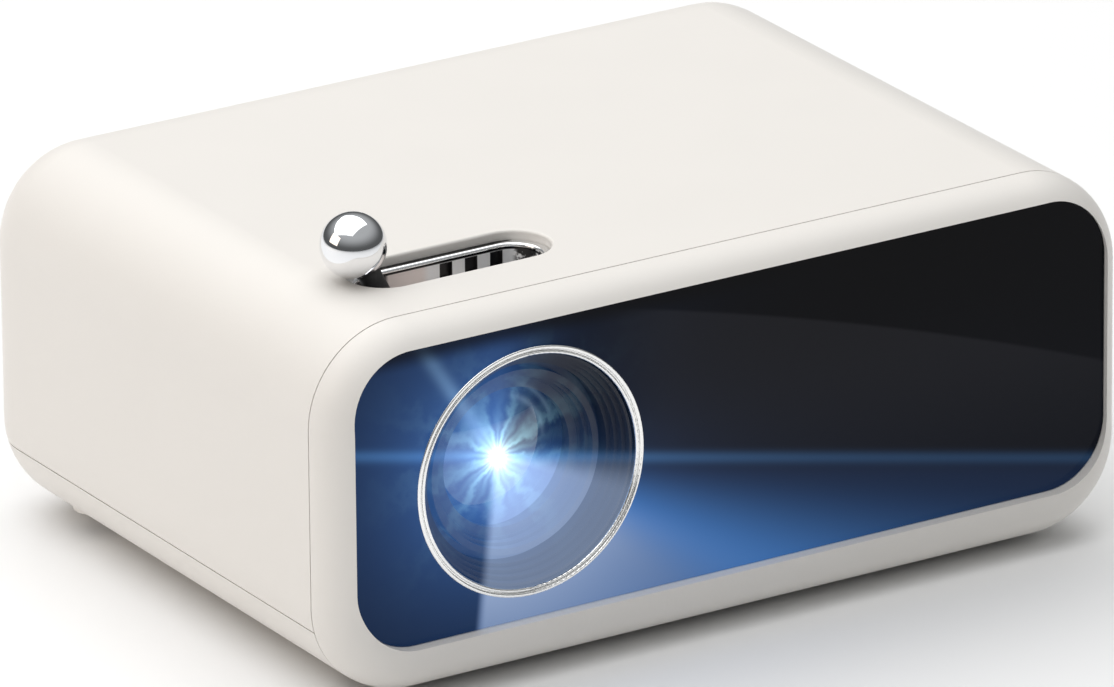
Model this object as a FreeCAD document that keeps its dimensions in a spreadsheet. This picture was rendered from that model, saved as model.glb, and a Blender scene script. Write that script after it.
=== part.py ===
import FreeCAD
import Part
import Sketcher

import math
import os
import re

# A small home projector. The frame is in millimetres: +Z up, the lens looks along -Y, +X to the
# right as seen from the front, and the origin is under the middle of the case on the resting surface.

# Driving dimensions, one spreadsheet cell each.
SIZES = {
    # case
    "body_width": 150.0,
    "body_depth": 113.6,
    "body_height": 62.0,
    "foot_height": 1.5,
    "corner": 16.0,
    "wall": 2.2,
    "seam": 0.25,
    "bezel_depth": 8.4,
    "front_round": 8.3,
    "rear_round": 10.8,
    "split_level": 13.5,
    "lip": 1.2,
    # front window
    "window_width": 141.8,
    "window_height": 50.0,
    "window_round": 11.0,
    "window_level": 35.25,
    "window_recess": 2.0,
    "window_thick": 2.0,
    "gap": 0.15,
    # lens and focus
    "lens_x": -38.4,
    "ring_radius": 21.0,
    "hood_radius": 19.3,
    "hood_flange": 24.3,
    "barrel_radius": 15.5,
    "sleeve_front": -48.5,
    "barrel_front": -50.5,
    "barrel_rear": -24.5,
    "running": 0.06,
    "tube_radius": 17.2,
    "focus_radius": 21.5,
    "focus_front": -37.8,
    "focus_rear": -24.8,
    "focus_travel": 5.5,
    "focus_angle": 54.8,
    "pin_radius": 1.0,
    "pin_y": -34.0,
    "flange_front": -21.0,
    "shield_inner": 22.2,
    "shield_outer": 22.8,
    "lever_y": -31.3,
    "lever_tilt": 27.4,
    "lever_length": 38.6,
    "stem_radius": 1.9,
    "ball_radius": 5.4,
    "slot_x": -38.4,
    "slot_y": -31.0,
    "slot_length": 36.2,
    "slot_width": 12.4,
    "trim_width": 9.0,
    "trim_drop": 1.6,
    "trim_bottom": 58.4,
    "notch_width": 2.4,
    "notch_pitch": 4.7,
    "notch_depth": 1.0,
    # optical engine
    "engine_left": -60.5,
    "engine_right": 20.6,
    "engine_front": -18.0,
    "engine_rear": 40.5,
    "engine_floor": 15.5,
    "engine_top": 53.0,
    "engine_wall": 1.7,
    "optic_y": 12.0,
    "plate_width": 53.2,
    # cooling
    "fan_x": 42.0,
    "fan_level": 35.0,
    "fan_size": 40.0,
    "fan_front": 42.8,
    "fan_depth": 10.0,
    "blade_radius": 18.2,
    "hub_radius": 9.0,
    "sink_left": 24.0,
    "sink_right": 60.0,
    # rear panel and electronics
    "rear_width": 124.0,
    "rear_height": 34.0,
    "rear_corner": 6.0,
    "rear_level": 34.0,
    "rear_inset": 1.0,
    "board_front": 41.5,
    "board_thick": 1.6,
    "receiver_x": -46.0,
    "receiver_level": 41.0,
    "port_level": 25.0,
    "button_x": 10.0,
    "button_level": 41.0,
    "button_radius": 4.0,
    "button_travel": 1.0,
    # case fasteners and feet
    "boss_radius": 3.5,
    "boss_level": 8.5,
    "boss_x_front": 62.0,
    "boss_y_front": -41.4,
    "boss_x_rear": 64.5,
    "boss_y_rear": 37.0,
    "screw_radius": 1.45,
    "screw_head": 2.8,
    "foot_radius": 5.0,
    "foot_x": 48.0,
    "foot_y": 37.0,
    "insert_radius": 4.5,
    "insert_bore": 2.6,
}

WORD = re.compile(r"[a-z][a-z_]*")
PLANES = {"xy": ("XY_Plane", 1), "xz": ("XZ_Plane", -1), "yz": ("YZ_Plane", 1)}
UP = FreeCAD.Rotation()
AXES = {
    "x": FreeCAD.Rotation(FreeCAD.Vector(0, 1, 0), 90),
    "y": FreeCAD.Rotation(FreeCAD.Vector(1, 0, 0), -90),
    "z": UP,
}
CUT_MARGIN = 1.0

doc = FreeCAD.newDocument("projector")
sheet = doc.addObject("Spreadsheet::Sheet", "dims")


def fill_sheet():
    for row, (alias, value) in enumerate(SIZES.items(), start=1):
        sheet.set(f"A{row}", alias)
        sheet.set(f"B{row}", str(value))
        sheet.setAlias(f"B{row}", alias)
    doc.recompute()


# ---- formulas and primitives -------------------------------------------------------------------


def formula(text):
    """Turn the words of a formula into references to the sheet."""
    return WORD.sub(lambda word: "dims." + word.group() if word.group() in SIZES else word.group(), str(text))


def size_of(text):
    return float(sheet.evalExpression(formula(text)))


def bind(item, **links):
    for prop, text in links.items():
        item.setExpression(prop.replace("__", "."), formula(text))
    return item


def place(item, x=0, y=0, z=0, rotation=UP):
    item.Placement = FreeCAD.Placement(FreeCAD.Vector(size_of(x), size_of(y), size_of(z)), rotation)
    return bind(item, Placement__Base__x=x, Placement__Base__y=y, Placement__Base__z=z)


def box(name, x, y, z):
    """A block between the (low, high) formulas of each axis."""
    item = doc.addObject("Part::Box", name)
    spans = [f"({high})-({low})" for low, high in (x, y, z)]
    bind(item, Length=spans[0], Width=spans[1], Height=spans[2])
    return place(item, x[0], y[0], z[0])


def cylinder(name, axis, at, length, radius):
    """A cylinder that grows along +axis from the point at."""
    item = doc.addObject("Part::Cylinder", name)
    bind(item, Radius=radius, Height=length)
    return place(item, *at, AXES[axis])


def cone(name, axis, at, length, first, last):
    item = doc.addObject("Part::Cone", name)
    bind(item, Radius1=first, Radius2=last, Height=length)
    return place(item, *at, AXES[axis])


def sphere(name, at, radius, rotation=UP):
    """A ball about the point at, whose poles lie on its own turned Z axis."""
    item = doc.addObject("Part::Sphere", name)
    bind(item, Radius=radius)
    return place(item, *at, rotation)


def fuse(name, *items):
    item = doc.addObject("Part::MultiFuse", name)
    item.Shapes = list(items)
    return item


def cut(name, base, *tools):
    item = doc.addObject("Part::Cut", name)
    item.Base = base
    item.Tool = tools[0] if len(tools) == 1 else fuse(name + "_tools", *tools)
    return item


def common(name, *items):
    item = doc.addObject("Part::MultiCommon", name)
    item.Shapes = list(items)
    return item


def group(name, items):
    item = doc.addObject("Part::Compound", name)
    item.Links = list(items)
    return item


def tube(name, axis, at, length, outer, inner):
    solid = cylinder(name + "_outer", axis, at, length, outer)
    start = list(at)
    index = "xyz".index(axis)
    start[index] = f"({at[index]})-{CUT_MARGIN}"
    bore = cylinder(name + "_bore", axis, start, f"({length})+{2 * CUT_MARGIN}", inner)
    return cut(name, solid, bore)


# ---- PartDesign helpers ------------------------------------------------------------------------


def new_body(name, x=0, y=0, z=0):
    body = doc.addObject("PartDesign::Body", name)
    body.Label = name
    return place(body, x, y, z)


def sketch(body, name, plane, level=0):
    """A sketch on one of the body's own planes, moved along the plane's axis to level."""
    role, sense = PLANES[plane]
    item = body.newObject("Sketcher::SketchObject", f"{body.Name}_{name}")
    support = next(feature for feature in body.Origin.OriginFeatures if feature.Role == role)
    item.AttachmentSupport = [(support, "")]
    item.MapMode = "FlatFace"
    bind(item, AttachmentOffset__Base__z=f"{sense}*({level})")
    return item


def datum(item, constraint, text):
    index = item.addConstraint(constraint)
    item.renameConstraint(index, f"size{index}")
    item.setExpression(f"Constraints.size{index}", formula(text))


def line(start, end):
    return Part.LineSegment(FreeCAD.Vector(*start, 0), FreeCAD.Vector(*end, 0))


def corner_arc(x, y, radius, start):
    circle = Part.Circle(FreeCAD.Vector(x, y, 0), FreeCAD.Vector(0, 0, 1), radius)
    return Part.ArcOfCircle(circle, math.radians(start), math.radians(start + 90))


def draw_circle(item, x, y, radius):
    centre = FreeCAD.Vector(size_of(x), size_of(y), 0)
    index = item.addGeometry(Part.Circle(centre, FreeCAD.Vector(0, 0, 1), size_of(radius)), False)
    datum(item, Sketcher.Constraint("Radius", index, size_of(radius)), radius)
    datum(item, Sketcher.Constraint("DistanceX", -1, 1, index, 3, size_of(x)), x)
    datum(item, Sketcher.Constraint("DistanceY", -1, 1, index, 3, size_of(y)), y)


def draw_polygon(item, points):
    """A closed outline whose corners are given as pairs of formulas."""
    values = [(size_of(x), size_of(y)) for x, y in points]
    count = len(points)
    first = None
    for index in range(count):
        added = item.addGeometry(line(values[index], values[(index + 1) % count]), False)
        first = added if first is None else first
    for index in range(count):
        item.addConstraint(Sketcher.Constraint("Coincident", first + index, 2, first + (index + 1) % count, 1))
    for index, (x, y) in enumerate(points):
        datum(item, Sketcher.Constraint("DistanceX", -1, 1, first + index, 1, values[index][0]), x)
        datum(item, Sketcher.Constraint("DistanceY", -1, 1, first + index, 1, values[index][1]), y)


def draw_rounded(item, x, y, width, height, radius):
    """A rectangle with round corners about the centre x, y."""
    cx, cy, r = size_of(x), size_of(y), size_of(radius)
    hx, hy = size_of(width) / 2, size_of(height) / 2
    low, high = (cx - hx, cy - hy), (cx + hx, cy + hy)
    parts = [
        line((low[0] + r, low[1]), (high[0] - r, low[1])),
        corner_arc(high[0] - r, low[1] + r, r, 270),
        line((high[0], low[1] + r), (high[0], high[1] - r)),
        corner_arc(high[0] - r, high[1] - r, r, 0),
        line((high[0] - r, high[1]), (low[0] + r, high[1])),
        corner_arc(low[0] + r, high[1] - r, r, 90),
        line((low[0], high[1] - r), (low[0], low[1] + r)),
        corner_arc(low[0] + r, low[1] + r, r, 180),
    ]
    ids = [item.addGeometry(part, False) for part in parts]
    for index, here in enumerate(ids):
        item.addConstraint(Sketcher.Constraint("Tangent", here, 2, ids[(index + 1) % 8], 1))
    for index in (0, 4):
        item.addConstraint(Sketcher.Constraint("Horizontal", ids[index]))
    for index in (2, 6):
        item.addConstraint(Sketcher.Constraint("Vertical", ids[index]))
    for index in (3, 5, 7):
        item.addConstraint(Sketcher.Constraint("Equal", ids[1], ids[index]))
    datum(item, Sketcher.Constraint("Radius", ids[1], r), radius)
    datum(item, Sketcher.Constraint("DistanceX", ids[6], 1, ids[2], 1, 2 * hx), width)
    datum(item, Sketcher.Constraint("DistanceY", ids[0], 1, ids[4], 1, 2 * hy), height)
    datum(item, Sketcher.Constraint("DistanceX", -1, 1, ids[2], 1, high[0]), f"({x})+({width})/2")
    datum(item, Sketcher.Constraint("DistanceY", -1, 1, ids[4], 1, high[1]), f"({y})+({height})/2")


def draw_slot(item, x, y, length, width, upright=False):
    """A slot with round ends about the centre x, y."""
    cx, cy = size_of(x), size_of(y)
    r, reach = size_of(width) / 2, (size_of(length) - size_of(width)) / 2
    turn = (lambda a, b: (cx - b, cy + a)) if upright else (lambda a, b: (cx + a, cy + b))
    shift = 90 if upright else 0
    parts = [
        line(turn(-reach, -r), turn(reach, -r)),
        half_turn(turn(reach, 0), r, 270 + shift),
        line(turn(reach, r), turn(-reach, r)),
        half_turn(turn(-reach, 0), r, 90 + shift),
    ]
    ids = [item.addGeometry(part, False) for part in parts]
    for index, here in enumerate(ids):
        item.addConstraint(Sketcher.Constraint("Tangent", here, 2, ids[(index + 1) % 4], 1))
    item.addConstraint(Sketcher.Constraint("Vertical" if upright else "Horizontal", ids[0]))
    datum(item, Sketcher.Constraint("Radius", ids[1], r), f"({width})/2")
    far = turn(reach, 0)
    near = turn(-reach, 0)
    half = f"(({length})-({width}))/2"
    ends = [(f"{x}", f"({y})+{half}"), (f"{x}", f"({y})-{half}")] if upright else [
        (f"({x})+{half}", f"{y}"), (f"({x})-{half}", f"{y}")]
    datum(item, Sketcher.Constraint("DistanceX", -1, 1, ids[1], 3, far[0]), ends[0][0])
    datum(item, Sketcher.Constraint("DistanceY", -1, 1, ids[1], 3, far[1]), ends[0][1])
    if upright:
        datum(item, Sketcher.Constraint("DistanceY", -1, 1, ids[3], 3, near[1]), ends[1][1])
    else:
        datum(item, Sketcher.Constraint("DistanceX", -1, 1, ids[3], 3, near[0]), ends[1][0])


def half_turn(centre, radius, start):
    circle = Part.Circle(FreeCAD.Vector(*centre, 0), FreeCAD.Vector(0, 0, 1), radius)
    return Part.ArcOfCircle(circle, math.radians(start), math.radians(start + 180))


def plane_of(item):
    return next(name for name, (role, _) in PLANES.items() if item.AttachmentSupport[0][0].Role == role)


def pad(body, item, length):
    """Add the sketch's outline over length along the plane's + axis."""
    feature = body.newObject("PartDesign::Pad", item.Name + "_pad")
    feature.Profile = item
    feature.Reversed = plane_of(item) == "xz"
    bind(feature, Length=length)
    body.Tip = feature
    return feature


def pocket(body, item, length):
    """Remove the sketch's outline over length along the plane's + axis."""
    before = body_volume(body)
    feature = body.newObject("PartDesign::Pocket", item.Name + "_pocket")
    feature.Profile = item
    feature.Reversed = plane_of(item) != "xz"
    bind(feature, Length=length)
    body.Tip = feature
    if not body_volume(body) < before:
        raise RuntimeError(item.Name + " cuts nothing")
    return feature


def body_volume(body):
    doc.recompute()
    return body.Tip.Shape.Volume


def round_edges(body, name, radius, chosen):
    """Fillet the tip's edges that chosen(edge) picks."""
    doc.recompute()
    base = body.Tip
    feature = body.newObject("PartDesign::Fillet", f"{body.Name}_{name}")
    names = [f"Edge{index}" for index, edge in enumerate(base.Shape.Edges, start=1) if chosen(edge)]
    feature.Base = (base, names)
    bind(feature, Radius=radius)
    body.Tip = feature
    return feature


def at_y(value):
    """Pick the edges that lie in the plane y = value."""
    return lambda edge: abs(edge.BoundBox.YMin - value) < 1e-4 and abs(edge.BoundBox.YMax - value) < 1e-4


def row_of(body, feature, sketch_item, axis, length, count):
    """Repeat the last feature count times along the sketch's axis over length."""
    pattern = body.newObject("PartDesign::LinearPattern", feature.Name + "_row")
    pattern.Originals = [feature]
    pattern.Direction = (sketch_item, [axis])
    pattern.Occurrences = count
    bind(pattern, Length=length)
    body.Tip = pattern
    return pattern


def ring_of(body, feature, role, count):
    """Repeat a feature count times about one of the body's own axes."""
    pattern = body.newObject("PartDesign::PolarPattern", feature.Name + "_ring")
    pattern.Originals = [feature]
    pattern.Axis = (next(axis for axis in body.Origin.OriginFeatures if axis.Role == role), [""])
    pattern.Angle = 360
    pattern.Occurrences = count
    body.Tip = pattern
    return pattern


def turned(name, points, x, z):
    """A solid of revolution about an axis along Y at x, z, from (radius, y) corners."""
    body = new_body(name, x, 0, z)
    profile = sketch(body, "profile", "xy")
    draw_polygon(profile, points)
    feature = body.newObject("PartDesign::Revolution", name + "_turned")
    feature.Profile = profile
    feature.ReferenceAxis = (profile, ["V_Axis"])
    feature.Angle = 360
    body.Tip = feature
    return body


# ---- case --------------------------------------------------------------------------------------

FRONT = "-body_depth/2"
REAR = "body_depth/2"
BASE = "foot_height"
TOP = "foot_height+body_height"
MIDDLE = "(foot_height+body_height/2)"
SHELL_FRONT = "(-body_depth/2+bezel_depth+seam)"
BOSSES = [(f"{side}*boss_x_{end}", f"boss_y_{end}") for end in ("front", "rear") for side in (1, -1)]


def loaf(body):
    """The hollow case outline behind the bezel, with its rounded rear, open at the front."""
    outer = sketch(body, "outline", "xz", SHELL_FRONT)
    draw_rounded(outer, "0", MIDDLE, "body_width", "body_height", "corner")
    pad(body, outer, f"body_depth/2-{SHELL_FRONT}")
    round_edges(body, "rear_round", "rear_round", at_y(size_of(REAR)))
    doc.recompute()
    base = body.Tip
    level = size_of(SHELL_FRONT)
    mouth = next(f"Face{index}" for index, face in enumerate(base.Shape.Faces, start=1)
                 if abs(face.BoundBox.YMax - level) < 1e-4)
    hollow = body.newObject("PartDesign::Thickness", body.Name + "_hollow")
    hollow.Base = (base, [mouth])
    hollow.Reversed = True
    bind(hollow, Value="wall")
    body.Tip = hollow


def trim_levels(body, name, low, high):
    """Remove everything between two levels."""
    block = sketch(body, name, "xz", f"{SHELL_FRONT}-{CUT_MARGIN}")
    draw_polygon(block, [
        (f"-body_width/2-{CUT_MARGIN}", low), (f"body_width/2+{CUT_MARGIN}", low),
        (f"body_width/2+{CUT_MARGIN}", high), (f"-body_width/2-{CUT_MARGIN}", high)])
    pocket(body, block, f"body_depth+{2 * CUT_MARGIN}")


def boss_circles(body, name, level, radius):
    item = sketch(body, name, "xy", level)
    for x, y in BOSSES:
        draw_circle(item, x, y, radius)
    return item


def top_shell():
    body = new_body("top_shell")
    loaf(body)
    trim_levels(body, "below_split", f"-{CUT_MARGIN}", "split_level")
    pad(body, boss_circles(body, "bosses", "boss_level+0.1", "boss_radius"), f"{TOP}-3.3-boss_level-0.1")
    pocket(body, boss_circles(body, "pilots", "boss_level", "screw_radius+0.05"), "12")
    slot = sketch(body, "slot", "xy", f"{TOP}-wall-{CUT_MARGIN}")
    draw_slot(slot, "slot_x", "slot_y", "slot_length", "slot_width")
    pocket(body, slot, f"wall+{2 * CUT_MARGIN}")
    rear = sketch(body, "rear_opening", "xz", f"{REAR}-wall-{CUT_MARGIN}")
    draw_rounded(rear, "0", "rear_level", "rear_width+2*gap", "rear_height+2*gap", "rear_corner+gap")
    pocket(body, rear, f"wall+{2 * CUT_MARGIN}")
    vent = sketch(body, "side_vent", "yz", f"body_width/2-wall-{CUT_MARGIN}")
    draw_slot(vent, "-36", MIDDLE, "20", "2", upright=True)
    slots = pocket(body, vent, f"wall+{2 * CUT_MARGIN}")
    row_of(body, slots, vent, "H_Axis", "64", 17)
    top = size_of(TOP)
    reach = (size_of("slot_length") + size_of("slot_width")) / 2
    round_edges(body, "slot_edge", "0.5", lambda edge: (
        abs(edge.BoundBox.ZMin - top) < 1e-4 and edge.BoundBox.XLength < reach * 2
        and abs(edge.CenterOfMass.x - size_of("slot_x")) < reach
        and abs(edge.CenterOfMass.y - size_of("slot_y")) < reach / 3
        and abs(edge.BoundBox.ZMax - top) < 1e-4))
    return body


def bottom_cover():
    body = new_body("bottom_cover")
    loaf(body)
    trim_levels(body, "above_split", "split_level-seam", f"{TOP}+{CUT_MARGIN}")
    lip = sketch(body, "lip", "xy", "split_level-2.5")
    lip_width = "body_width-6.2"
    lip_depth = "body_depth-16.2"
    draw_rounded(lip, "0", "4.7", lip_width, lip_depth, "rear_round-wall-0.3")
    draw_rounded(lip, "0", "4.7", f"{lip_width}-2*lip", f"{lip_depth}-2*lip", "rear_round-wall-0.3-lip")
    pad(body, lip, "3.8")
    mouth = sketch(body, "lip_mouth", "xy", "split_level-2.5")
    draw_polygon(mouth, [(f"{side}*(boss_x_front+4.5)", y) for side, y in (
        (-1, SHELL_FRONT), (1, SHELL_FRONT), (1, "boss_y_front+4"), (-1, "boss_y_front+4"))])
    pocket(body, mouth, "3.8")
    boss_start = f"{BASE}+wall/2+1.5"
    pad(body, boss_circles(body, "bosses", boss_start, "boss_radius+0.6"), f"boss_level-({boss_start})")
    standoffs = sketch(body, "standoffs", "xy", f"{BASE}+wall/2")
    for x, y in ENGINE_LEGS:
        draw_circle(standoffs, x, y, "5.5")
    draw_circle(standoffs, "0", "0", "insert_radius+2")
    pad(body, standoffs, "4.4")
    heads = sketch(body, "screw_heads", "xy", f"{BASE}-{CUT_MARGIN}")
    shanks = sketch(body, "screw_holes", "xy", BASE)
    for x, y in BOSSES + ENGINE_LEGS:
        draw_circle(heads, x, y, "screw_head+0.2")
        draw_circle(shanks, x, y, "screw_radius+0.2")
    pocket(body, heads, "5.4")
    pocket(body, shanks, "9")
    feet = sketch(body, "foot_recesses", "xy", f"{BASE}-{CUT_MARGIN}")
    for x in (1, -1):
        for y in (1, -1):
            draw_circle(feet, f"{x}*foot_x", f"{y}*foot_y", "foot_radius+0.1")
    pocket(body, feet, f"{CUT_MARGIN}+0.8")
    insert = sketch(body, "insert_hole", "xy", f"{BASE}-{CUT_MARGIN}")
    draw_circle(insert, "0", "0", "insert_radius+0.05")
    pocket(body, insert, "8")
    vent = sketch(body, "intake", "xy", f"{BASE}-{CUT_MARGIN}")
    draw_slot(vent, "16", "-30", "20", "2.2", upright=True)
    slots = pocket(body, vent, f"{CUT_MARGIN}+wall+0.5")
    row_of(body, slots, vent, "H_Axis", "24", 7)
    return body


def front_bezel():
    body = new_body("front_bezel")
    outer = sketch(body, "outline", "xz", FRONT)
    draw_rounded(outer, "0", MIDDLE, "body_width", "body_height", "corner")
    pad(body, outer, "bezel_depth")
    round_edges(body, "front_edge", "front_round", at_y(size_of(FRONT)))
    inside = sketch(body, "inside", "xz", f"{FRONT}+6")
    draw_rounded(inside, "0", MIDDLE, "body_width-2*wall", "body_height-2*wall", "corner-wall")
    pocket(body, inside, "bezel_depth")
    tongue = sketch(body, "tongue", "xz", f"{FRONT}+5.6")
    tongue_width = "body_width-2*wall-0.4"
    tongue_height = "body_height-2*wall-0.4"
    draw_rounded(tongue, "0", MIDDLE, tongue_width, tongue_height, "corner-wall-0.2")
    draw_rounded(tongue, "0", MIDDLE, f"{tongue_width}-2*lip", f"{tongue_height}-2*lip", "corner-wall-0.2-lip")
    pad(body, tongue, "5.6")
    window = sketch(body, "window", "xz", f"{FRONT}-{CUT_MARGIN}")
    draw_rounded(window, "0", "window_level", "window_width", "window_height", "window_round")
    pocket(body, window, f"{CUT_MARGIN}+window_recess+window_thick+0.05")
    ledge = sketch(body, "ledge", "xz", FRONT)
    draw_rounded(ledge, "0", "window_level", "window_width-6", "window_height-6", "window_round-3")
    pocket(body, ledge, "bezel_depth")
    return body


def front_panel():
    body = new_body("front_panel")
    plate = sketch(body, "outline", "xz", f"{FRONT}+window_recess")
    shrink = "2*gap"
    draw_rounded(plate, "0", "window_level", f"window_width-{shrink}", f"window_height-{shrink}", "window_round-gap")
    draw_circle(plate, "lens_x", "window_level", "ring_radius-0.8")
    pad(body, plate, "window_thick")
    return body


def rear_panel():
    body = new_body("rear_panel")
    inner_face = "body_depth/2-wall-rear_inset-0.5"
    flange = sketch(body, "flange", "xz", inner_face)
    draw_rounded(flange, "0", "rear_level", "rear_width+4", "rear_height+4", "rear_corner+2")
    pad(body, flange, "rear_inset+0.4")
    plate = sketch(body, "plate", "xz", inner_face)
    draw_rounded(plate, "0", "rear_level", "rear_width", "rear_height", "rear_corner")
    pad(body, plate, "wall+0.5")
    holes = sketch(body, "port_holes", "xz", f"{inner_face}-{CUT_MARGIN}")
    for _, x, width, height in PORTS:
        draw_rounded(holes, x, "port_level", f"{width}+0.6", f"{height}+0.6", "0.8")
    for _, x, radius in JACKS:
        draw_circle(holes, x, "port_level", f"{radius}+0.25")
    draw_circle(holes, "button_x", "button_level", "button_radius+0.2")
    draw_circle(holes, "receiver_x", "receiver_level", "2.6")
    pocket(body, holes, "6")
    grille = sketch(body, "grille", "xz", f"{inner_face}-{CUT_MARGIN}")
    draw_slot(grille, "fan_x-17.5", "rear_level", "28", "2.2", upright=True)
    slots = pocket(body, grille, "6")
    row_of(body, slots, grille, "H_Axis", "35", 11)
    return body


def slot_trim():
    """The polished liner inside the slot, with a row of notches in its rear wall."""
    body = new_body("slot_trim")
    under = f"{TOP}-wall-0.1"
    top = f"{TOP}-trim_drop"
    wall = sketch(body, "wall", "xy", "trim_bottom")
    draw_slot(wall, "slot_x", "slot_y", "slot_length-0.3", "slot_width-0.3")
    pad(body, wall, f"{top}-trim_bottom")
    flange = sketch(body, "flange", "xy", f"{under}-1.1")
    draw_slot(flange, "slot_x", "slot_y", "slot_length+3.6", "slot_width+3.6")
    pad(body, flange, "1.1")
    bore = sketch(body, "bore", "xy", f"trim_bottom-{CUT_MARGIN}")
    draw_slot(bore, "slot_x", "slot_y", "slot_length-slot_width+trim_width", "trim_width")
    pocket(body, bore, "6")
    notch = sketch(body, "notch", "xy", f"trim_bottom-{CUT_MARGIN}")
    back = "slot_y+trim_width/2+notch_depth"
    left, right = "slot_x+1", "slot_x+1+notch_width"
    draw_polygon(notch, [(left, "slot_y"), (right, "slot_y"), (right, back), (left, back)])
    notches = pocket(body, notch, f"{CUT_MARGIN}+2.5")
    row_of(body, notches, notch, "H_Axis", "2*notch_pitch", 3)
    level = size_of(top)
    reach = size_of("trim_width") / 2 + 0.1
    round_edges(body, "lip", "0.5", lambda edge: (
        abs(edge.BoundBox.ZMin - level) < 1e-4 and abs(edge.BoundBox.ZMax - level) < 1e-4
        and edge.BoundBox.YLength < reach * 2 and abs(edge.CenterOfMass.y - size_of("slot_y")) < reach))
    return body


# ---- lens and focus ----------------------------------------------------------------------------


def lens_ring():
    """A polished ring with two fine beads on its face and a neck that passes through the window."""
    face = f"{FRONT}+window_recess"
    outer_bead = f"{face}-0.63"
    inner_bead = f"{face}-0.55"
    points = [
        ("ring_radius-1.45", f"{face}+window_thick+1"), ("ring_radius-0.95", f"{face}+window_thick+1"),
        ("ring_radius-0.95", face), ("ring_radius", face), ("ring_radius", outer_bead),
        ("ring_radius-0.7", outer_bead), ("ring_radius-0.7", f"{face}-0.2"), ("ring_radius-0.85", f"{face}-0.2"),
        ("ring_radius-0.85", inner_bead), ("ring_radius-1.45", inner_bead)]
    body = turned("lens_ring", points, "lens_x", "window_level")
    tops = [at_y(size_of(level)) for level in (outer_bead, inner_bead)]
    round_edges(body, "beads", "0.27", lambda edge: any(on_top(edge) for on_top in tops))
    return body


def lens_hood():
    """A fixed black tunnel that narrows in steps from the ring to a collar that meets the lens sleeve."""
    front = f"{FRONT}+window_recess+0.3"
    rear = f"{front}+4.85"
    shrinks = (0.5, 1.2, 1.9, 2.6)
    ends = (1.2, 2.4, 3.6, 5.85)
    points = [("hood_radius", front)]
    for shrink, start, end in zip(shrinks, (0, *ends), ends):
        points += [(f"hood_radius-{shrink}", f"{front}+{start}"), (f"hood_radius-{shrink}", f"{front}+{end}")]
    points += [("hood_radius-1.1", f"{front}+{ends[-1]}"), ("hood_radius-1.1", rear)]
    points += [("hood_flange", rear), ("hood_flange", f"{rear}-1"), ("hood_radius", f"{rear}-1")]
    return turned("lens_hood", points, "lens_x", "window_level")


def focus_parts():
    """The cam ring that turns on the lens sleeve, with its clip, its lever and the lever's ball."""
    ring_y = ("lens_x", "focus_front", "window_level")
    ring = tube("focus_ring_blank", "y", ring_y, "focus_rear-focus_front", "focus_radius", "tube_radius+running")
    tools = [cam_slot(index) for index in range(3)]
    tools.append(radial("focus_ring_socket", "-lever_tilt", "tube_radius-1", "focus_radius+1", "stem_radius+0.05",
                        "lever_y"))
    cut("focus_ring", ring, *tools)
    clip_y = ("lens_x", "focus_front-1.5", "window_level")
    tube("focus_ring_clip", "y", clip_y, "1.2", "tube_radius+2", "tube_radius+0.05")
    stem = radial("focus_lever_stem", "-lever_tilt", "tube_radius+0.4", "lever_length-2", "stem_radius", "lever_y")
    collar = radial("focus_lever_collar", "-lever_tilt", "shield_outer+0.2", "shield_outer+1.4", "stem_radius+0.8",
                    "lever_y")
    fuse("focus_lever", stem, collar)
    along_lever = FreeCAD.Rotation(FreeCAD.Vector(0, 1, 0), -SIZES["lever_tilt"])
    ball = sphere("lever_ball_solid", ball_centre(), "ball_radius", along_lever)
    socket = radial("lever_ball_socket", "-lever_tilt", "lever_length-8", "lever_length-1.9", "stem_radius+0.05",
                    "lever_y")
    cut("lever_ball", ball, socket)


def ball_centre():
    return "lens_x-lever_length*sin(lever_tilt*1deg)", "lever_y", "window_level+lever_length*cos(lever_tilt*1deg)"


def radial(name, angle, inner, outer, radius, y):
    """A pin that points away from the lens axis, angle degrees from +Z towards +X."""
    turn = size_of(angle)
    item = doc.addObject("Part::Cylinder", name)
    bind(item, Radius=radius, Height=f"({outer})-({inner})")
    x = f"lens_x+({inner})*sin(({angle})*1deg)"
    z = f"window_level+({inner})*cos(({angle})*1deg)"
    return place(item, x, y, z, FreeCAD.Rotation(FreeCAD.Vector(0, 1, 0), turn))


def cam_slot(index):
    """One helical slot of the focus ring: it draws a barrel pin to the rear as the ring turns."""
    angle = 60 + 120 * index
    name = f"cam_slot_{index + 1}"
    helix = doc.addObject("Part::Helix", name + "_path")
    bind(helix, Pitch="focus_travel*360/focus_angle", Height="focus_travel", Radius="tube_radius+2")
    helix.LocalCoord = "Left-handed"
    section = doc.addObject("Part::Plane", name + "_section")
    bind(section, Length="8", Width="2*pin_radius+0.4")
    quarter = FreeCAD.Rotation(FreeCAD.Vector(1, 0, 0), 90)
    place(section, "tube_radius-2", "0", "-pin_radius-0.2", quarter)
    sweep = doc.addObject("Part::Sweep", name + "_sweep")
    sweep.Sections = [section]
    sweep.Spine = (helix, ["Edge1"])
    sweep.Solid = True
    sweep.Frenet = True
    start = radial(name + "_start", f"{angle}", "tube_radius-1", "focus_radius+1", "pin_radius+0.2", "pin_y")
    end = radial(name + "_end", f"{angle}-focus_angle", "tube_radius-1", "focus_radius+1", "pin_radius+0.2",
                 "pin_y+focus_travel")
    # The helix climbs along its own Z, which is turned to +Y, from its own X, turned to the pin.
    radians = math.radians(angle)
    across = FreeCAD.Vector(math.sin(radians), 0, math.cos(radians))
    along = FreeCAD.Vector(0, 1, 0)
    turn = FreeCAD.Rotation(across, along.cross(across), along, "ZXY")
    place(sweep, "lens_x", "pin_y", "window_level", turn)
    return fuse(name, sweep, start, end)


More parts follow.
